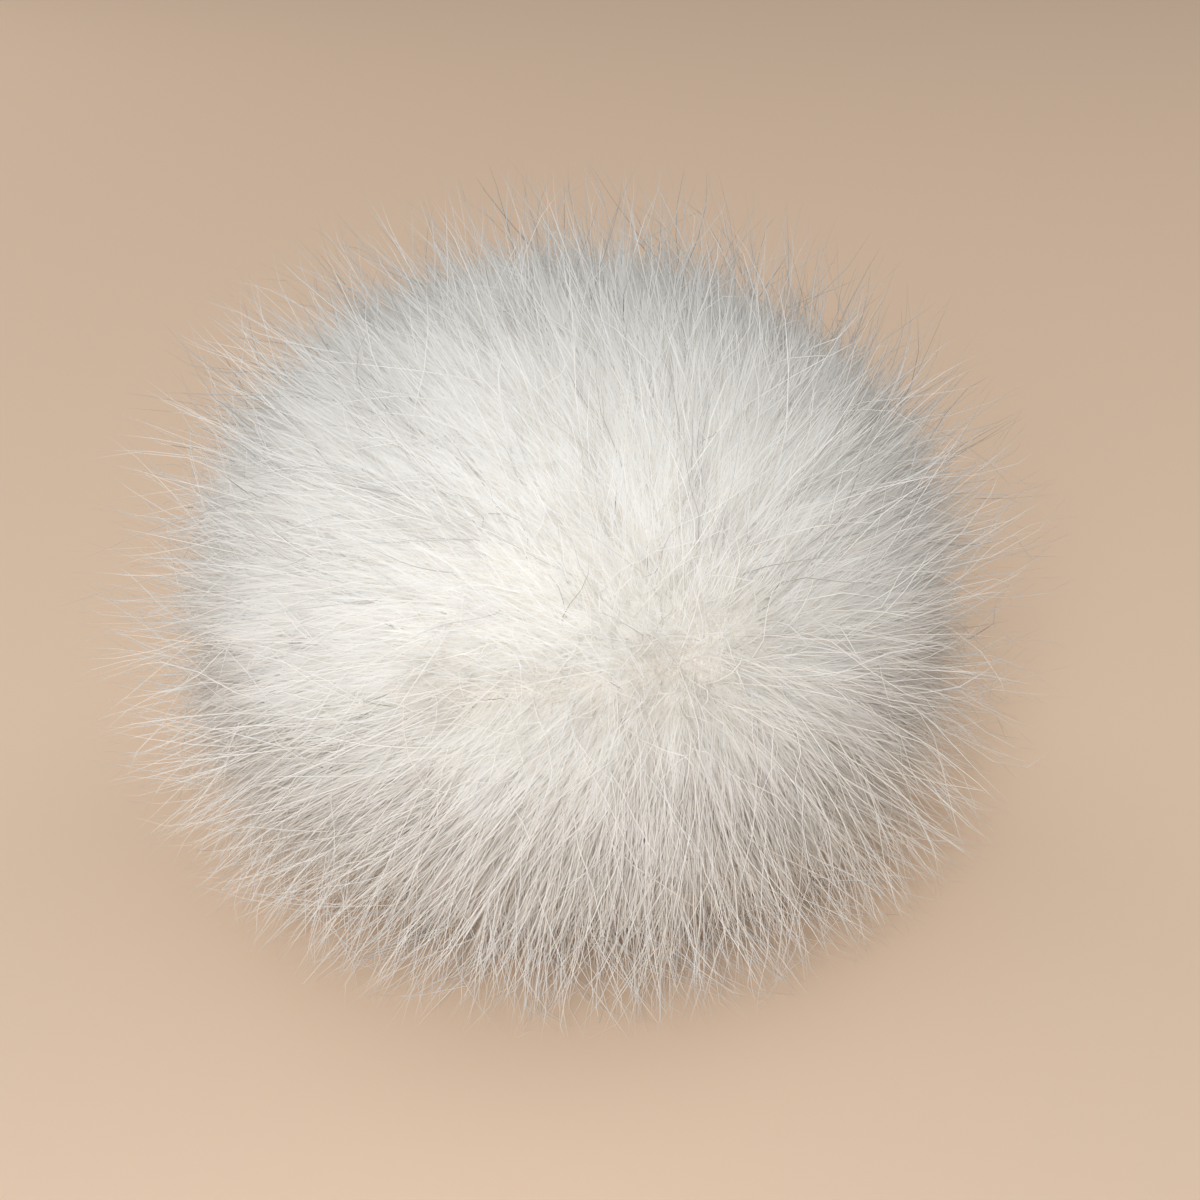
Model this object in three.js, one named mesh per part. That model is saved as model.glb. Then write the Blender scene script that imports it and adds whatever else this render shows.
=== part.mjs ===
// A fur pom-pom: one round piece of long white fur, gathered behind its stuffing into a
// closed ball. The fur stands out all round in pointed, slightly bent locks. It parts at
// a whorl on the front, sweeps away from it on every side, sags a little in its lower
// half, and is pressed flat where the ball rests. Millimetres, +Z up, with the origin in
// the middle of the resting spot.

import * as THREE from 'three';
import { ConvexHull } from 'three/addons/math/ConvexHull.js';

// The ball that the thick undercoat fills, between the locks
const BALL_WIDTH = 119;
const BALL_HEIGHT = 102;
const PRESSED_DEPTH = 4;
const LOWER_BULGE = 0.1;

// The whorl: where it lies, and the shallow dent that the parted fur leaves there
const WHORL_TURN = 22;
const WHORL_LIFT = 11;
const WHORL_DENT = 5;
const WHORL_SPREAD = 16;

// The locks: how many cover the ball, how far they stand out, and how far they are swept.
// A higher bias makes more of them short.
const LOCK_COUNT = 600;
const LOCK_LENGTH_SHORT = 5;
const LOCK_LENGTH_LONG = 18;
const LOCK_LENGTH_BIAS = 3;
const LOCK_SWEEP = 0.62;
const LOCK_SWEEP_LOSS = 0.45;
const LOCK_WAIST = 0.42;
const LOCK_WAIST_WIDTH = 0.6;
const SPACING_JITTER = 0.35;

// The pressed underside: how far below the ball's middle it begins and is complete, as
// shares of its radius, and the small gap under the fur beside it
const PRESSED_FROM = 0.8;
const PRESSED_WHOLLY = 0.97;
const FLOOR_CLEARANCE = 0.8;

const FUR_COLOUR = 0xe9e5dd;
const FUR_ROUGHNESS = 0.85;

const DEGREE = Math.PI / 180;
const GOLDEN_TURN = Math.PI * (3 - Math.sqrt(5));
const ballCentre = new THREE.Vector3(0, 0, BALL_HEIGHT / 2 - PRESSED_DEPTH / 2);
const ballRadii = new THREE.Vector3(BALL_WIDTH / 2, BALL_WIDTH / 2, (BALL_HEIGHT + PRESSED_DEPTH) / 2);
const whorl = new THREE.Vector3(
  Math.sin(WHORL_TURN * DEGREE) * Math.cos(WHORL_LIFT * DEGREE),
  -Math.cos(WHORL_TURN * DEGREE) * Math.cos(WHORL_LIFT * DEGREE),
  Math.sin(WHORL_LIFT * DEGREE),
);

// A repeatable series of fractions between 0 and 1, so that every build gives the same fur
function fractionSeries(seed) {
  let state = seed;
  return () => {
    state = (Math.imul(state, 1664525) + 1013904223) >>> 0;
    return state / 2 ** 32;
  };
}
const fraction = fractionSeries(20);

// The direction of each lock's middle: a golden spiral over the ball, shaken a little
function lockDirections() {
  const spacing = Math.sqrt((4 * Math.PI) / LOCK_COUNT);
  return Array.from({ length: LOCK_COUNT }, (unused, index) => {
    const height = 1 - (2 * index + 1) / LOCK_COUNT;
    const across = Math.sqrt(1 - height * height);
    const turn = index * GOLDEN_TURN;
    const shake = new THREE.Vector3(fraction() - 0.5, fraction() - 0.5, fraction() - 0.5);
    return new THREE.Vector3(Math.cos(turn) * across, Math.sin(turn) * across, height)
      .addScaledVector(shake, spacing * SPACING_JITTER)
      .normalize();
  });
}

// How much a direction belongs to the pressed underside: 1 at the bottom, 0 above its rim
function pressed(direction) {
  return THREE.MathUtils.smoothstep(-direction.z, PRESSED_FROM, PRESSED_WHOLLY);
}

// The undercoat's surface in a direction: an ellipsoid with the whorl's dent pushed in. Its
// lower half is widened by a sine that is nothing at the ball's middle and at its foot.
function undercoatPoint(direction) {
  const angle = direction.angleTo(whorl) / DEGREE;
  const dent = WHORL_DENT * Math.exp(-((angle / WHORL_SPREAD) ** 2));
  const widening = 1 + LOWER_BULGE * Math.sin(Math.PI * Math.max(0, -direction.z));
  return direction.clone()
    .multiply(ballRadii)
    .multiply(new THREE.Vector3(widening, widening, 1))
    .addScaledVector(direction, -dent)
    .add(ballCentre);
}

// The way the fur lies at a direction: along the ball, away from the whorl, and weaker
// both at the whorl itself and on the far side, where the sweeps meet
function sweep(direction) {
  const away = direction.clone().multiplyScalar(direction.dot(whorl)).sub(whorl);
  const angle = direction.angleTo(whorl);
  const strength = Math.sin(angle) * (1 - LOCK_SWEEP_LOSS * Math.sin(angle / 2));
  return away.normalize().multiplyScalar(strength * (1 - pressed(direction)));
}

// Fur that would reach through the floor is pressed flat on it
function aboveFloor(point, direction) {
  point.z = Math.max(point.z, FLOOR_CLEARANCE * (1 - pressed(direction)), 0);
  return point;
}

function buildFur() {
  const directions = lockDirections();
  const faces = new ConvexHull().setFromPoints(directions).faces;
  const lockOf = new Map(directions.map((direction, index) => [direction, index]));
  const positions = [];
  const triangles = [];
  const addVertex = (point) => positions.push(point.x, point.y, point.z) / 3 - 1;

  // Each lock's tip stands off the undercoat and bends over with the sweep
  const roots = directions.map(undercoatPoint);
  const lengths = directions.map((direction) => {
    const share = fraction() ** LOCK_LENGTH_BIAS;
    return THREE.MathUtils.lerp(LOCK_LENGTH_SHORT, LOCK_LENGTH_LONG, share) * (1 - pressed(direction));
  });
  const tips = directions.map((direction, lock) => {
    const tip = roots[lock].clone()
      .addScaledVector(direction, lengths[lock])
      .addScaledVector(sweep(direction), lengths[lock] * LOCK_SWEEP);
    return addVertex(aboveFloor(tip, direction));
  });

  // A valley lies between every three neighbouring locks, and each of the three has a
  // corner of its waist above it
  const cornerOf = new Map();
  const valleyOf = new Map();
  for (const face of faces) {
    const around = [face.getEdge(0), face.getEdge(1), face.getEdge(2)]
      .map((edge) => lockOf.get(edge.head().point));
    const middle = around.reduce((sum, lock) => sum.add(directions[lock]), new THREE.Vector3()).normalize();
    const valleyPoint = aboveFloor(undercoatPoint(middle), middle);
    valleyOf.set(face, addVertex(valleyPoint));
    for (const lock of around) {
      const direction = directions[lock];
      const corner = roots[lock].clone()
        .lerp(valleyPoint, LOCK_WAIST_WIDTH)
        .addScaledVector(direction, lengths[lock] * LOCK_WAIST)
        .addScaledVector(sweep(direction), lengths[lock] * LOCK_SWEEP * LOCK_WAIST ** 2);
      cornerOf.set(`${lock} ${valleyOf.get(face)}`, addVertex(aboveFloor(corner, direction)));
    }
  }

  // Every edge between two neighbouring locks gives each of them one side: two triangles
  // from the valleys up to the waist, and one from the waist to the tip
  for (const face of faces) {
    for (const edge of [face.getEdge(0), face.getEdge(1), face.getEdge(2)]) {
      const lock = lockOf.get(edge.tail().point);
      const near = valleyOf.get(face);
      const far = valleyOf.get(edge.twin.face);
      const nearCorner = cornerOf.get(`${lock} ${near}`);
      const farCorner = cornerOf.get(`${lock} ${far}`);
      triangles.push(far, near, nearCorner);
      triangles.push(far, nearCorner, farCorner);
      triangles.push(farCorner, nearCorner, tips[lock]);
    }
  }

  const geometry = new THREE.BufferGeometry();
  geometry.setAttribute('position', new THREE.Float32BufferAttribute(positions, 3));
  geometry.setIndex(triangles);
  geometry.computeBoundingBox();
  const middle = geometry.boundingBox.getCenter(new THREE.Vector3());
  geometry.translate(-middle.x, -middle.y, 0);
  geometry.computeVertexNormals();
  return geometry;
}

const fur = new THREE.Mesh(
  buildFur(),
  new THREE.MeshStandardMaterial({ color: FUR_COLOUR, roughness: FUR_ROUGHNESS, metalness: 0 }),
);
fur.name = 'fur_ball';

const pomPom = new THREE.Group();
pomPom.add(fur);
export default pomPom;
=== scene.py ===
import math
from dataclasses import dataclass

import bpy
import numpy as np
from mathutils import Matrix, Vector


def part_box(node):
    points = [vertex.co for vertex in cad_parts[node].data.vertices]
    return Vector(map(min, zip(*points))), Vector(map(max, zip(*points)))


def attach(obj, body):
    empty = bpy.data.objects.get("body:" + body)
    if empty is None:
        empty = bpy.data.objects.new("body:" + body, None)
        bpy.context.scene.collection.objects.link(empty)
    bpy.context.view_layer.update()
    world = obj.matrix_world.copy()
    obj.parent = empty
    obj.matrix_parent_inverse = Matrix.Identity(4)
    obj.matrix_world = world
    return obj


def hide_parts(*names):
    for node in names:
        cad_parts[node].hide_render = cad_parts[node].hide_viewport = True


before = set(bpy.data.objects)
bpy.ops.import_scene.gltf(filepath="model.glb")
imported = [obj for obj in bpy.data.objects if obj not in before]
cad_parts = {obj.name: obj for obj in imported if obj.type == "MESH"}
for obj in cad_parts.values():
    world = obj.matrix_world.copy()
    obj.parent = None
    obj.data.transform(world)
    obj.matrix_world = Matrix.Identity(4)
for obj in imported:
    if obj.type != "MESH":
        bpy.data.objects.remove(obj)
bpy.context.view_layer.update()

# The undercoat
# The pelt is drawn shut round its wadding, and its short woolly undercoat fills one round
# mass. It is a closed surface, dented where the fur parts, and flat where the ball rests.
MM = 0.001
BALL_MIDDLE = 51.0 * MM
low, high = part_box("fur_ball")
BALL_CENTRE = np.array([(low.x + high.x) / 2, (low.y + high.y) / 2, BALL_MIDDLE])
UNDERCOAT_RADII = np.array([57.5, 57.5, 48.5]) * MM
UNDERCOAT_RINGS = 60
UNDERCOAT_COLUMNS = 100
UNDERCOAT_FOOT = 1.5 * MM
LOWER_BULGE = 0.1
LUMP_HEIGHT = 0.9 * MM
LUMP_SCALE = 7
LUMP_SEED = 11
WHORL_DENT = 1.5 * MM
WHORL_WIDTH = math.radians(13)
PARTING_DENT = 1.2 * MM
PARTING_WIDTH = math.radians(6)
WOOL_FACE = (0.86, 0.84, 0.80)
WOOL_ROOT = (0.74, 0.68, 0.60)
FELT_SCALE = 900.0
FELT_SHARE = 0.6
FELT_DEPTH = 0.5 * MM
WOOL_PATCH_SCALE = 90.0


def towards(turn, lift):
    """The direction at an angle round the ball from its front, and at an angle up."""
    turn, lift = math.radians(turn), math.radians(lift)
    return np.array([math.sin(turn) * math.cos(lift), -math.cos(turn) * math.cos(lift), math.sin(lift)])


WHORL = towards(22, 11)
PARTING_END = towards(-15, 7)


def unit(vectors):
    """Each vector over its own length."""
    return vectors / np.maximum(np.linalg.norm(vectors, axis=-1, keepdims=True), 1e-9)


def dot(a, b):
    """The sum of the products of two vectors' parts, kept as a column."""
    return (a * b).sum(-1, keepdims=True)


def whorl_angle(directions):
    """The angle between each direction and the whorl, from the cosine that their dot gives."""
    return np.arccos(np.clip(dot(directions, WHORL), -1, 1))


def from_parting(directions):
    """The way to each direction from the nearest point of the parting, which runs from the
    whorl to its end: the place along it is a share of the way, held between 0 and 1."""
    line = PARTING_END - WHORL
    share = np.clip(dot(directions - WHORL, line) / dot(line, line), 0, 1)
    return directions - unit(WHORL + line * share)


def bell(distance, width):
    """1 at no distance, and falling as a bell does: e to the minus square of the ratio."""
    return np.exp(-(distance / width) ** 2)


def parted(directions):
    """How much the fur parts at each direction: 1 on the parting, and 0 away from it."""
    return bell(np.linalg.norm(from_parting(directions), axis=-1, keepdims=True), PARTING_WIDTH)


def waves(directions, scale, seed):
    """Smooth noise of about -1 to 1: twice the mean of eight sine waves that cross the ball
    in directions fixed by the seed."""
    fixed = np.random.default_rng(seed)
    across = unit(fixed.normal(size=(8, 3))) * fixed.uniform(0.6, 1.5, (8, 1)) * scale
    phase = fixed.uniform(0, 2 * math.pi, 8)
    return 2 * np.sin(directions @ across.T + phase).mean(-1, keepdims=True)


def undercoat_points(directions):
    """The undercoat in each direction: an ellipsoid with soft lumps, less a bell-shaped dent
    at the whorl and along the parting, and held just above the floor. It sags, so its lower
    half is widened by a sine that is nothing at the middle and at the foot."""
    dent = WHORL_DENT * bell(whorl_angle(directions), WHORL_WIDTH) + PARTING_DENT * parted(directions)
    lumps = LUMP_HEIGHT * waves(directions, LUMP_SCALE, LUMP_SEED)
    sag = LOWER_BULGE * np.sin(math.pi * np.clip(-directions[:, 2:], 0, 1)) * np.array([1, 1, 0])
    points = directions * UNDERCOAT_RADII * (1 + sag) + directions * (lumps - dent) + BALL_CENTRE
    points[:, 2] = np.maximum(points[:, 2], UNDERCOAT_FOOT)
    return points


def ball_grid(rings, columns):
    """A ball's directions on rings from its top to its foot, and the corners of its faces."""
    lift = np.linspace(0, math.pi, rings + 1)[1:-1, None]
    turn = np.arange(columns) * 2 * math.pi / columns
    around = np.stack([
        np.sin(lift) * np.cos(turn), np.sin(lift) * np.sin(turn), np.cos(lift) * np.ones(columns),
    ], -1)
    directions = np.concatenate([[[0, 0, 1]], around.reshape(-1, 3), [[0, 0, -1]]])
    this = 1 + np.arange(columns)
    following = np.roll(this, -1)
    row = np.arange(rings - 2)[:, None] * columns
    quads = np.stack([this + row, this + columns + row, following + columns + row, following + row], -1)
    foot = len(directions) - 1
    last = (rings - 2) * columns
    caps = np.concatenate([
        np.stack([np.zeros(columns, int), this, following], -1),
        np.stack([np.full(columns, foot), following + last, this + last], -1),
    ])
    return directions, [quads.reshape(-1, 4), caps]


def new_piece(name, vertices, faces, material):
    """One smooth mesh piece at the origin, from arrays of its points and its faces' corners.
    It rides on the one body and stands for the CAD solid."""
    mesh = bpy.data.meshes.new(name)
    corners = np.concatenate([kind.ravel() for kind in faces])
    sides = np.concatenate([np.full(len(kind), kind.shape[1]) for kind in faces])
    mesh.vertices.add(len(vertices))
    mesh.vertices.foreach_set("co", vertices.astype(np.float32).ravel())
    mesh.loops.add(len(corners))
    mesh.loops.foreach_set("vertex_index", corners.astype(np.int32))
    mesh.polygons.add(len(sides))
    mesh.polygons.foreach_set("loop_start", (np.cumsum(sides) - sides).astype(np.int32))
    mesh.polygons.foreach_set("use_smooth", np.ones(len(sides), bool))
    mesh.update(calc_edges=True)
    mesh.materials.append(material)
    piece = bpy.data.objects.new(name, mesh)
    bpy.context.scene.collection.objects.link(piece)
    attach(piece, "root")
    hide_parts("fur_ball")
    return piece


class Wire:
    """A socket of a material. Signs between wires and numbers add Math nodes."""

    def __init__(self, material, socket=None):
        self.material = material
        self.socket = socket

    def node(self, kind, settings, sockets, output=0):
        """A new node, with its settings made first, and then a value or a wire on each of
        its named or numbered sockets."""
        tree = self.material.node_tree
        made = tree.nodes.new("ShaderNode" + kind)
        for name, value in settings.items():
            if name == "stops":
                for element, (place, shade) in zip(made.color_ramp.elements, value):
                    element.position = place
                    element.color = (shade, shade, shade, 1)
            else:
                setattr(made, name, value)
        for name, value in sockets.items():
            if isinstance(value, Wire):
                tree.links.new(value.socket, made.inputs[name])
            else:
                made.inputs[name].default_value = value
        return Wire(self.material, made.outputs[output])

    def __add__(self, other):
        return self.node("Math", {"operation": "ADD"}, {0: self, 1: other})

    def __mul__(self, other):
        return self.node("Math", {"operation": "MULTIPLY"}, {0: self, 1: other})

    __radd__ = __add__
    __rmul__ = __mul__

    def mixed(self, first, second):
        """The first colour where this wire is 0, the second where it is 1."""
        return self.node("Mix", {"data_type": "RGBA"}, {"Factor": self, 6: first, 7: second}, 2)


def surface(name, roughness, specular):
    """A new material, as a wire to build from, and its shader."""
    material = bpy.data.materials.new(name)
    material.use_nodes = True
    shader = material.node_tree.nodes["Principled BSDF"]
    shader.inputs["Roughness"].default_value = roughness
    shader.inputs["Specular IOR Level"].default_value = specular
    return Wire(material), shader


def feed(wire, shader, socket):
    """Links a wire to a socket of the shader."""
    wire.material.node_tree.links.new(wire.socket, shader.inputs[socket])


def undercoat_material():
    """Cream wool: fine felted fibres, and broader patches that are a little deeper."""
    start, shader = surface("woolly_undercoat", roughness=0.95, specular=0.1)
    place = start.node("TexCoord", {}, {}, 3)
    felt = start.node(
        "TexNoise", {}, {"Vector": place, "Scale": FELT_SCALE, "Detail": 3.0, "Distortion": 1.5},
    )
    patches = start.node("TexNoise", {}, {"Vector": place, "Scale": WOOL_PATCH_SCALE, "Detail": 2.0})
    blend = FELT_SHARE * felt + (1 - FELT_SHARE) * patches
    share = start.node("ValToRGB", {"stops": [(0.35, 0.0), (0.65, 1.0)]}, {0: blend})
    feed(share.mixed((*WOOL_ROOT, 1), (*WOOL_FACE, 1)), shader, "Base Color")
    bump = start.node("Bump", {}, {"Height": felt, "Strength": 0.6, "Distance": FELT_DEPTH})
    feed(bump, shader, "Normal")
    return start.material


ball_directions, ball_faces = ball_grid(UNDERCOAT_RINGS, UNDERCOAT_COLUMNS)
new_piece("undercoat", undercoat_points(ball_directions), ball_faces, undercoat_material())

# The down
# The finest wool of the pelt: short straight fibres that cross each other all over the ball
# and fill it like cotton between the longer hairs. Its roots are beige, partly their own colour
# and partly painted shade, and painted shade darkens it towards the foot.
HAIR_SEED = 7
draw = np.random.default_rng(HAIR_SEED)

# The heights that part the ball into top, middle and foot, as shares of its radius
MIDDLE_BELOW = 0.35
FOOT_BELOW = -0.18
ZONE_BLUR = 0.12
WOOL_LIT_ZONES = 2

DOWN_COUNT = 98000
DOWN_SHAKE = 0.6
DOWN_LENGTH = (5.0 * MM, 10.0 * MM)
DOWN_WIDTH = (0.15 * MM, 0.25 * MM)
DOWN_STEPS = 2
DOWN_SWEEP = 0.9
DOWN_HANG = 0.3
DOWN_TANGLE = 0.3
DOWN_SOFTNESS = 0.9
DOWN_TONE_SPREAD = 0.07
TANGLE_MORE = 0.9
TANGLE_WIDTH = math.radians(9)

# How far below its middle, in shares of the radius, the wool begins to be worn short and is
# shortest, the share of its length that is left there, how far down the sweep begins to fade
# and has gone, and how close to the floor a hair lies
# The same reach sets how much painted shade darkens the wool's tone at the foot
THINNED_FROM = 0.4
THINNED_TO = 0.85
THINNED_SHARE = 0.4
SWEPT = 0.35
SPLAYED = 0.8
FLOOR_GAP = 0.2 * MM

# The angles from the whorl at which the sweep is full and begins to be lost again, how much
# it loses, how far it turns aside at the parting, and how the droop grows below the middle
FULL_SWEEP_ANGLE = math.radians(12)
FAR_ANGLE = 1.9
FAR_LOSS = 0.5
PARTING_ASIDE = 0.5
DROOP_START = 0.1
DROOP_RATE = 1.5

# Each hair's radius at the root and what it loses towards its tip, as shares of its width,
# and the edges of the map, with the narrow strip of it that one hair takes
ROOT_RADIUS = 0.5
TIP_LOSS = 0.4
MAP_RIGHT = 0.98
MAP_TOP = 0.97
MAP_STEP = 0.008
MAP_LIFT = 0.03

# The wool's tones from 0, beige on the parting and painted shade at the foot, to 1, white, with
# the patches of them, and its colours
WOOL_TONE = 0.84
PARTING_BEIGE = 0.3
# Painted shade: how far the wool's tone darkens towards the foot
FOOT_PAINTED_SHADE = 0.6
PATCH_MEAN = 0.7
PATCH_SWING = 0.5
PATCH_MOST = 1.2
PATCH_SCALE = 38
PATCH_SEED = 5
WHITE_TONE = 0.85
GROWN_WAY = 0.6
STREAKS = (60.0, 5.0, 0.0)
UNEVEN = 0.3
# Roots darker than tips: partly the wool's own beige, partly painted shade deep in the fur
UNDERFUR_ROOT = (0.76, 0.70, 0.62)
UNDERFUR_TIP = (0.89, 0.885, 0.865)
# Beige for the parting's hairs, and the colour of the painted shade at the foot
UNDERFUR_BEIGE_AND_SHADE = (0.56, 0.48, 0.39)


def sweep(directions):
    """The way that the fur lies: along the ball and straight away from the whorl. It is at
    full strength a short way from the whorl, fades to half on the far side and to nothing
    at the foot, where the floor splays the fur, and turns aside along the parting."""
    angle = whorl_angle(directions)
    away = unit(directions * dot(directions, WHORL) - WHORL)
    aside = unit(from_parting(directions)) * parted(directions) * PARTING_ASIDE
    near = np.clip(angle / FULL_SWEEP_ANGLE, 0, 1)
    strength = near * (1 - FAR_LOSS * np.clip(angle - FAR_ANGLE, 0, 1))
    return (away + aside) * strength * np.clip((directions[:, 2:] + SPLAYED) / (SPLAYED - SWEPT), 0, 1)


def droop(directions):
    """How far the fur hangs: straight down, from nothing at the ball's middle to 1 below it,
    and less again under its foot, where it is pressed."""
    below = np.clip(DROOP_START - DROOP_RATE * directions[:, 2:], 0, 1)
    free = np.clip(DROOP_RATE + DROOP_RATE * directions[:, 2:], 0, 1)
    return np.array([0, 0, -1.0]) * below * free


def thinned(directions):
    """The share of its length that the wool keeps: all of it, and less towards the foot,
    where it is worn and only the longer hairs hang."""
    # The same share sets the painted shade of the wool's tone at the foot
    low_down = np.clip((-directions[:, 2:] - THINNED_FROM) / (THINNED_TO - THINNED_FROM), 0, 1)
    return 1 - (1 - THINNED_SHARE) * low_down


def tangent_waves(directions, scale, seed):
    """Three waves as one vector: the wandering of the lay over the ball."""
    return np.concatenate([waves(directions, scale, seed + axis) for axis in range(3)], -1)


def golden_directions(count, shake):
    """A golden spiral over the ball, each direction shaken by a share of the spacing."""
    height = 1 - (2 * np.arange(count) + 1) / count
    turn = np.arange(count) * math.pi * (3 - math.sqrt(5))
    across = np.sqrt(1 - height ** 2)
    spiral = np.stack([across * np.cos(turn), across * np.sin(turn), height], -1)
    return unit(spiral + draw.normal(size=(count, 3)) * shake * math.sqrt(4 * math.pi / count))


@dataclass
class Hairs:
    """Hairs by the direction that each grows in, how it leans, its length, its bend, its
    wave and its tone from 0, grey or beige, to 1, white."""

    directions: np.ndarray
    lean: np.ndarray
    length: np.ndarray
    bend: np.ndarray
    wave: np.ndarray
    tone: np.ndarray

    def paths(self, steps):
        """Points along each hair: straight on from the root along its direction and its
        lean, and to the side by its bend times the square of the way along and by its wave
        times the sine of one turn along it."""
        way = np.linspace(0, 1, steps)[None, :, None]
        heading = unit(self.directions + self.lean)
        aside = self.bend[:, None] * way ** 2 + self.wave[:, None] * np.sin(2 * math.pi * way)
        roots = undercoat_points(self.directions)
        return roots[:, None] + self.length[:, None] * (heading[:, None] * way + aside)

    def repeated(self, times):
        """Each hair as many times over, in order."""
        return Hairs(*(np.repeat(values, times, 0) for values in vars(self).values()))

    def strewn(self, times, spread, lean, length, bend, wave, tone):
        """Each hair's own followers: strewn round its root and varied by these spreads."""
        each = self.repeated(times)
        count = len(each.directions)
        return Hairs(
            unit(each.directions + draw.normal(size=(count, 3)) * spread),
            each.lean + draw.normal(size=(count, 3)) * lean,
            each.length * (1 + draw.uniform(-1, 1, (count, 1)) * length),
            each.bend + draw.normal(size=(count, 3)) * bend,
            each.wave + draw.normal(size=(count, 3)) * wave,
            each.tone + draw.normal(size=(count, 1)) * tone,
        )


def above_floor(paths):
    """Hair that would reach through the floor is turned along it, outwards by the depth
    that it loses."""
    depth = np.maximum(FLOOR_GAP - paths[..., 2:], 0)
    outwards = unit((paths - BALL_CENTRE) * np.array([1, 1, 0]))
    held = paths + outwards * depth
    held[..., 2] = np.maximum(held[..., 2], FLOOR_GAP)
    return held


def strands(paths, widths, tones, outwards, softness):
    """Fine closed hairs: three corners round each point of a path, a flat root, and a point
    at the tip, with the radius falling by the cube of the way along. Across the map is the
    hair's tone, and up it the way from root to tip. The shading turns from the hair's own
    side towards the ball's by the softness."""
    count, steps = paths.shape[:2]
    along = unit(np.gradient(paths, axis=1))
    side = unit(np.cross(along, draw.normal(size=(count, 1, 3))))
    over = np.cross(along, side)
    corner = np.arange(3)[:, None] * 2 * math.pi / 3
    out = side[:, :-1, None] * np.cos(corner) + over[:, :-1, None] * np.sin(corner)
    taper = ROOT_RADIUS - TIP_LOSS * np.linspace(0, 1, steps)[:-1] ** 3
    rings = paths[:, :-1, None] + out * (widths[:, None] * taper)[:, :, None, None]
    vertices = np.concatenate([rings.reshape(count, -1, 3), paths[:, -1:]], 1)
    own = np.concatenate([out.reshape(count, -1, 3), along[:, -1:]], 1)
    shading = unit(own * (1 - softness[:, None]) + (outwards * softness)[:, None])

    across = np.clip(tones, 0, MAP_RIGHT)[:, None] + np.arange(3) * MAP_STEP
    up = np.linspace(0, MAP_TOP, steps)[None, :-1, None] + np.array([0, MAP_LIFT, 0])
    rings_map = np.stack(np.broadcast_arrays(across, up), -1).reshape(count, -1, 2)
    tips_map = np.stack([across[:, :, 1], np.ones((count, 1))], -1)
    points_map = np.concatenate([rings_map, tips_map], 1).reshape(-1, 2)

    first = (np.arange(count) * (3 * (steps - 1) + 1))[:, None, None]
    here = first + 3 * np.arange(steps - 2)[None, :, None] + np.arange(3)
    after = first + 3 * np.arange(steps - 2)[None, :, None] + np.array([1, 2, 0])
    quads = np.stack([here, after, after + 3, here + 3], -1).reshape(-1, 4)
    last = first[:, :, 0] + 3 * (steps - 2)
    tips = np.stack([last + np.arange(3), last + [1, 2, 0], last + [3, 3, 3]], -1).reshape(-1, 3)
    roots = first[:, 0] + np.array([0, 2, 1])
    return vertices.reshape(-1, 3), [quads, tips, roots], points_map, shading.reshape(-1, 3)


def hair_pieces(name, paths, widths, hairs, softness, material, lit_zones):
    """Three pieces of many strands each, for the ball's top, its middle and its foot, which
    mingle where they meet. The lit zones, from the top, let light through to their roots,
    as a thick mass of white hair does."""
    height = hairs.directions[:, 2] + draw.normal(size=len(widths)) * ZONE_BLUR
    below = height <= MIDDLE_BELOW
    zones = [height > MIDDLE_BELOW, below & (height > FOOT_BELOW), height <= FOOT_BELOW]
    each_softness = np.broadcast_to(softness, (len(widths), 1))
    for zone, share in enumerate(zones):
        vertices, faces, points_map, shading = strands(
            paths[share], widths[share], hairs.tone[share], hairs.directions[share], each_softness[share],
        )
        faces = [kind for kind in faces if len(kind)]
        piece = new_piece(f"{name}_{zone + 1}", vertices, faces, material)
        corners_map = np.concatenate([points_map[kind.ravel()] for kind in faces])
        layer = piece.data.uv_layers.new(name="OFBake")
        layer.data.foreach_set("uv", corners_map.astype(np.float32).ravel())
        piece.data.normals_split_custom_set_from_vertices(shading.astype(np.float32))
        piece.visible_shadow = zone >= lit_zones


def hair_material(name, root, tip, dark, roughness, specular):
    """Hair from its root's colour to its tip's up the map, the roots darker partly by their own beige
    and partly by painted shade deep in the fur, and dark towards the left of the map, where the
    beige or grey hairs and the wool's painted shade at the foot lie, with a faint unevenness along
    each hair."""
    start, shader = surface(name, roughness, specular)
    place = start.node("UVMap", {"uv_map": "OFBake"}, {})
    tone = start.node("SeparateXYZ", {}, {0: place}, 0)
    way = start.node("SeparateXYZ", {}, {0: place}, 1)
    stretched = start.node("VectorMath", {"operation": "MULTIPLY"}, {0: place, 1: STREAKS})
    uneven = start.node("TexNoise", {"noise_dimensions": "2D"}, {"Vector": stretched, "Detail": 2.0})
    # Partly painted shade: the root's colour darkens each hair near the ball
    growth = start.node("ValToRGB", {"stops": [(0.0, 0.0), (GROWN_WAY, 1.0)]}, {0: way})
    colour = (growth + UNEVEN * uneven + (-UNEVEN / 2)).mixed((*root, 1), (*tip, 1))
    lightness = start.node("ValToRGB", {"stops": [(0.0, 0.0), (WHITE_TONE, 1.0)]}, {0: tone})
    feed(lightness.mixed((*dark, 1), colour), shader, "Base Color")
    return start.material


def underfur_tone(directions):
    """The tone of the wool: nearly white, beige in patches along the parting, and darker towards
    the foot with painted shade, which grows where the wool is worn short."""
    patchy = np.clip(PATCH_MEAN + PATCH_SWING * waves(directions, PATCH_SCALE, PATCH_SEED), 0, PATCH_MOST)
    # Painted shade darkens the wool towards the foot, by what it loses of its length
    return WOOL_TONE - PARTING_BEIGE * parted(directions) * patchy - FOOT_PAINTED_SHADE * (1 - thinned(directions))


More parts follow.
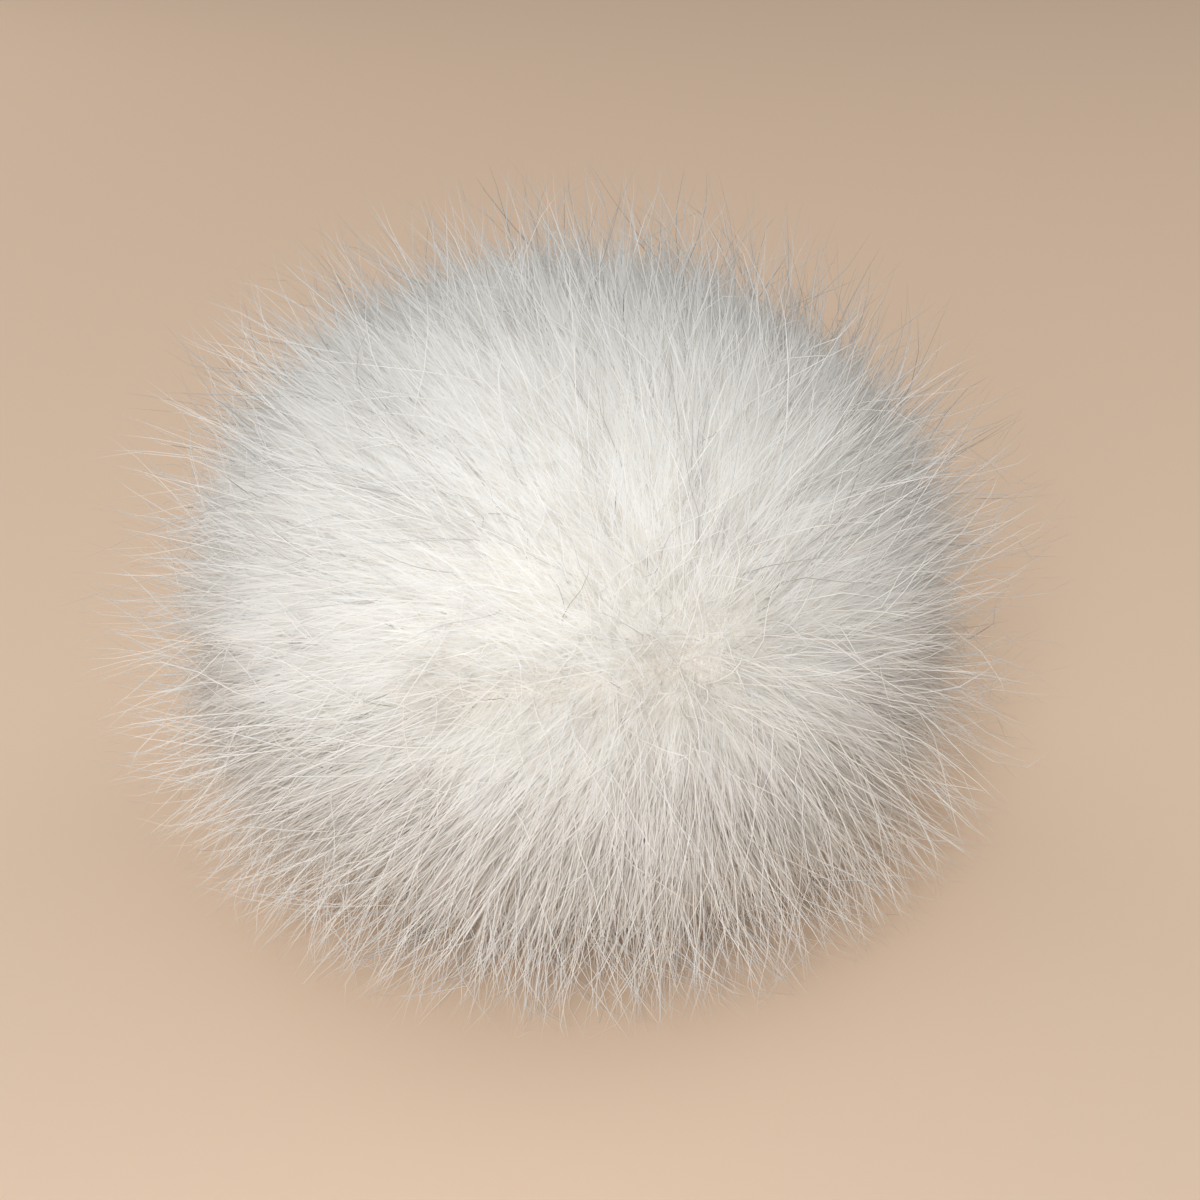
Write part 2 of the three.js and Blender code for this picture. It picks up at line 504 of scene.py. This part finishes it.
down_directions = golden_directions(DOWN_COUNT, DOWN_SHAKE)
tangle = DOWN_TANGLE + TANGLE_MORE * bell(whorl_angle(down_directions), TANGLE_WIDTH)
down_lean = sweep(down_directions) * DOWN_SWEEP + droop(down_directions) * DOWN_HANG
down = Hairs(
    down_directions,
    down_lean + draw.normal(size=(DOWN_COUNT, 3)) * tangle,
    draw.uniform(*DOWN_LENGTH, (DOWN_COUNT, 1)) * thinned(down_directions),
    np.zeros((DOWN_COUNT, 3)),
    np.zeros((DOWN_COUNT, 3)),
    underfur_tone(down_directions) + draw.normal(size=(DOWN_COUNT, 1)) * DOWN_TONE_SPREAD,
)
# The wool's material, which carries the painted shade at its roots and at the foot
underfur_white = hair_material(
    "underfur", UNDERFUR_ROOT, UNDERFUR_TIP, UNDERFUR_BEIGE_AND_SHADE, roughness=0.8, specular=0.2,
)
down_widths = draw.uniform(*DOWN_WIDTH, DOWN_COUNT)
hair_pieces(
    "down", above_floor(down.paths(DOWN_STEPS)), down_widths, down,
    DOWN_SOFTNESS, underfur_white, WOOL_LIT_ZONES,
)

# The underfur
# Soft longer hair that lies along the ball in small wisps, and the wisps in larger locks. All
# of it grows from the undercoat and sweeps away from the whorl, and the lower half hangs.
LOCK_COUNT = 980
LOCK_SHAKE = 0.35
WISPS_IN_LOCK = 5
HAIRS_IN_WISP = 4
LOCK_HOLD = 0.15
WISP_HOLD = 0.4
HOLD_POWER = 1.4
UNDERFUR_LENGTH = 13.0 * MM
UNDERFUR_LENGTH_SPREAD = 0.15
UNDERFUR_WIDTH = (0.14 * MM, 0.22 * MM)
UNDERFUR_STEPS = 3
UNDERFUR_SOFTNESS = 0.85
WANDER_SCALE = 5
WANDER_SEED = 31


def leading_hairs(count, shake, swept, hung, wander, length, bend, tone, lowered=0):
    """One hair in the middle of each lock, evenly over the ball, or all lowered towards its
    foot by a share of its radius, which makes them denser there."""
    directions = unit(golden_directions(count, shake) - np.array([0, 0, lowered]))
    flow = sweep(directions)
    wandering = tangent_waves(directions, WANDER_SCALE, WANDER_SEED) * wander
    lean = flow * swept + droop(directions) * hung
    lean = lean + wandering * np.linalg.norm(flow, axis=-1, keepdims=True)
    bends = flow * bend + droop(directions) * bend + draw.normal(size=(count, 3)) * bend
    return Hairs(directions, lean, length, bends, np.zeros((count, 3)), tone(directions))


def drawn_together(paths, leaders, hold):
    """Paths drawn towards their leaders' by the hold at the tip, and less before it."""
    steps = paths.shape[1]
    return paths + (leaders - paths) * hold * (np.linspace(0, 1, steps) ** HOLD_POWER)[None, :, None]


lock_lengths = UNDERFUR_LENGTH * (1 + UNDERFUR_LENGTH_SPREAD * draw.uniform(-1, 1, (LOCK_COUNT, 1)))
leaders = leading_hairs(
    LOCK_COUNT, LOCK_SHAKE, swept=1.1, hung=0.5, wander=0.25,
    length=lock_lengths, bend=0.10, tone=underfur_tone,
)
leaders.length *= thinned(leaders.directions)
lock_spacing = math.sqrt(4 * math.pi / LOCK_COUNT)
wisps = leaders.strewn(
    WISPS_IN_LOCK, spread=lock_spacing * 0.45, lean=0.18, length=0.15, bend=0.06, wave=0, tone=0.06,
)
underfur = wisps.strewn(
    HAIRS_IN_WISP, spread=lock_spacing * 0.22, lean=0.14, length=0.2, bend=0.08, wave=0, tone=0.05,
)
wisp_paths = wisps.repeated(HAIRS_IN_WISP).paths(UNDERFUR_STEPS)
lock_paths = leaders.repeated(WISPS_IN_LOCK * HAIRS_IN_WISP).paths(UNDERFUR_STEPS)
underfur_paths = drawn_together(underfur.paths(UNDERFUR_STEPS), wisp_paths, WISP_HOLD)
underfur_paths = above_floor(drawn_together(underfur_paths, lock_paths, LOCK_HOLD))
underfur_widths = draw.uniform(*UNDERFUR_WIDTH, len(underfur_paths))
hair_pieces(
    "underfur", underfur_paths, underfur_widths, underfur,
    UNDERFUR_SOFTNESS, underfur_white, WOOL_LIT_ZONES,
)

# The cover hairs
# Straighter, shining hairs in loose tufts, which end just past the underfur and give the ball
# its white face.
GUARD_TONE = 0.9
# Roots darker than tips: partly the hair's own colour, partly painted shade deep in the fur
GUARD_ROOT = (0.76, 0.71, 0.64)
GUARD_TIP = (0.92, 0.915, 0.90)
GUARD_GREY = (0.34, 0.33, 0.32)
TUFT_SHAKE = 0.5
COVER_TUFTS = 3060
COVER_IN_TUFT = 4
COVER_HOLD = 0.15
COVER_STEPS = 4
COVER_LENGTH = (11.0 * MM, 17.0 * MM)
COVER_WIDTH = (0.11 * MM, 0.18 * MM)
COVER_SOFTNESS = 0.9


def guard_tone(directions):
    """The same white for every hair."""
    return np.full((len(directions), 1), GUARD_TONE)


guard_white = hair_material(
    "guard_hair", GUARD_ROOT, GUARD_TIP, GUARD_GREY, roughness=0.45, specular=0.5,
)
cover_lengths = draw.uniform(*COVER_LENGTH, (COVER_TUFTS, 1))
cover_leaders = leading_hairs(
    COVER_TUFTS, TUFT_SHAKE, swept=0.9, hung=0.5, wander=0.25,
    length=cover_lengths, bend=0.14, tone=guard_tone,
)
cover_leaders.length *= thinned(cover_leaders.directions)
cover = cover_leaders.strewn(
    COVER_IN_TUFT, spread=0.06, lean=0.22, length=0.25, bend=0.18, wave=0.02, tone=0.05,
)
cover_middles = cover_leaders.repeated(COVER_IN_TUFT).paths(COVER_STEPS)
cover_paths = drawn_together(cover.paths(COVER_STEPS), cover_middles, COVER_HOLD)
cover_widths = draw.uniform(*COVER_WIDTH, len(cover_paths))
hair_pieces(
    "cover_hairs", above_floor(cover_paths), cover_widths, cover,
    COVER_SOFTNESS, guard_white, WOOL_LIT_ZONES,
)

# The guard hairs
# The longest and stiffest hairs. They stand out singly past the rest, up to one outline round
# the ball, hang and splay longer at the foot, and a few of the upper ones are grey.
TRIM_RADII = np.array([88.4, 89.5, 74.3]) * MM
TRIM_POWER = 3.0
GREY_SHARE = 0.25
GREY_TONE = (0.15, 0.55)
GREY_ABOVE = 0.3
GUARD_TUFTS = 1160
GUARD_IN_TUFT = 6
GUARD_LOWERED = 0.05
GUARD_HOLD = 0.1
GUARD_STEPS = 6
GUARD_LENGTH = (15.0 * MM, 34.0 * MM)
GUARD_BIAS = 1.8
GUARD_WIDTH = (0.11 * MM, 0.18 * MM)
GUARD_LIT_ZONES = 0
FOOT_LENGTHENING = 0.8
FOOT_SOFTNESS = 0.15
TOP_SOFTER = 0.45
SOFTER_FROM = 0.6


def trimmed(paths):
    """Hairs whose tips stand out past the trimmed ellipsoid are shortened about their roots,
    by the cube of the ratio of the outline to the tip."""
    reach = np.linalg.norm((paths[:, -1:] - BALL_CENTRE) / TRIM_RADII, axis=-1, keepdims=True)
    share = np.minimum(1, reach ** -TRIM_POWER)
    return paths[:, :1] + (paths - paths[:, :1]) * share


shortest, longest = GUARD_LENGTH
guard_lengths = shortest + (longest - shortest) * draw.random((GUARD_TUFTS, 1)) ** GUARD_BIAS
guard_leaders = leading_hairs(
    GUARD_TUFTS, TUFT_SHAKE, swept=0.7, hung=0.5, wander=0.3,
    length=guard_lengths, bend=0.16, tone=guard_tone, lowered=GUARD_LOWERED,
)
above_foot = np.clip(1 + 2 * guard_leaders.directions[:, 2:], 0, 1)
guard_leaders.length *= 1 + FOOT_LENGTHENING - FOOT_LENGTHENING * above_foot
guards = guard_leaders.strewn(
    GUARD_IN_TUFT, spread=0.08, lean=0.42, length=0.3, bend=0.24, wave=0.035, tone=0.05,
)
grey = (draw.random(guards.tone.shape) < GREY_SHARE) & (guards.directions[:, 2:] > GREY_ABOVE)
guards.tone[grey] = draw.uniform(*GREY_TONE, grey.sum())
guard_middles = guard_leaders.repeated(GUARD_IN_TUFT).paths(GUARD_STEPS)
guard_paths = drawn_together(guards.paths(GUARD_STEPS), guard_middles, GUARD_HOLD)
guard_widths = draw.uniform(*GUARD_WIDTH, len(guard_paths))
guard_softness = FOOT_SOFTNESS + TOP_SOFTER * np.clip(SOFTER_FROM + guards.directions[:, 2:], 0, 1)
hair_pieces(
    "guard_hairs", above_floor(trimmed(guard_paths)), guard_widths, guards,
    guard_softness, guard_white, GUARD_LIT_ZONES,
)

# The floor
# A plain pale floor, level with the ball's foot.
FLOOR_HALF = 4.0
FLOOR_COLOUR = (0.93, 0.71, 0.54, 1)
floor_mesh = bpy.data.meshes.new("floor")
floor_corners = [(-FLOOR_HALF, -FLOOR_HALF, 0), (FLOOR_HALF, -FLOOR_HALF, 0), (FLOOR_HALF, FLOOR_HALF, 0)]
floor_mesh.from_pydata(floor_corners + [(-FLOOR_HALF, FLOOR_HALF, 0)], [], [(0, 1, 2, 3)])
floor = bpy.data.objects.new("floor", floor_mesh)
bpy.context.scene.collection.objects.link(floor)
floor_start, floor_shader = surface("pale_floor", roughness=0.8, specular=0.2)
floor_shader.inputs["Base Color"].default_value = FLOOR_COLOUR
floor_mesh.materials.append(floor_start.material)

# The light
# A soft key lamp at the front, a little to the left, two weak warm lamps behind the ball, one
# on either side, and an even studio sky.
SKY_COLOUR = (1.0, 0.965, 0.92, 1)
SKY_STRENGTH = 0.36
scene = bpy.context.scene
scene.world = bpy.data.worlds.new("studio")
scene.world.use_nodes = True
sky = scene.world.node_tree.nodes["Background"]
sky.inputs["Color"].default_value = SKY_COLOUR
sky.inputs["Strength"].default_value = SKY_STRENGTH


def soft_box(name, place, size, power, colour):
    """A square lamp that faces the middle of the ball."""
    lamp = bpy.data.lights.new(name, "AREA")
    lamp.size = size
    lamp.energy = power
    lamp.color = colour
    holder = bpy.data.objects.new(name, lamp)
    scene.collection.objects.link(holder)
    holder.location = place
    holder.rotation_euler = (Vector(BALL_CENTRE) - Vector(place)).to_track_quat("-Z", "Y").to_euler()


soft_box("key", place=(-0.16, -0.94, 0.52), size=0.4, power=7.3, colour=(0.965, 0.99, 1.0))
soft_box("fill", place=(0.9, 0.5, 0.9), size=0.9, power=1.8, colour=(1.0, 0.95, 0.88))
soft_box("back", place=(-0.85, 0.75, 0.5), size=0.9, power=2.4, colour=(1.0, 0.97, 0.93))

# The camera
# It looks down on the ball from the front, with the ball just left of the picture's middle.
PICTURE_PX = 1200
FOCAL_PX = 2190
BALL_PX = (570, 575)
SENSOR_WIDTH = 36
CAMERA_LIFT = math.radians(23)
CAMERA_AWAY = 0.38
AIM_HEIGHT = 53.0 * MM
AIM = np.array([BALL_CENTRE[0], BALL_CENTRE[1], AIM_HEIGHT])
lens = bpy.data.cameras.new("camera")
lens.sensor_width = SENSOR_WIDTH
lens.lens = SENSOR_WIDTH * FOCAL_PX / PICTURE_PX
camera = bpy.data.objects.new("camera", lens)
scene.collection.objects.link(camera)
scene.camera = camera
camera.location = AIM + np.array([0, -math.cos(CAMERA_LIFT), math.sin(CAMERA_LIFT)]) * CAMERA_AWAY
turned = math.atan((BALL_PX[0] - PICTURE_PX / 2) / FOCAL_PX)
tipped = math.atan((PICTURE_PX / 2 - BALL_PX[1]) / FOCAL_PX)
camera.rotation_euler = (math.pi / 2 - CAMERA_LIFT - tipped, 0, turned)
scene.view_settings.view_transform = "Standard"
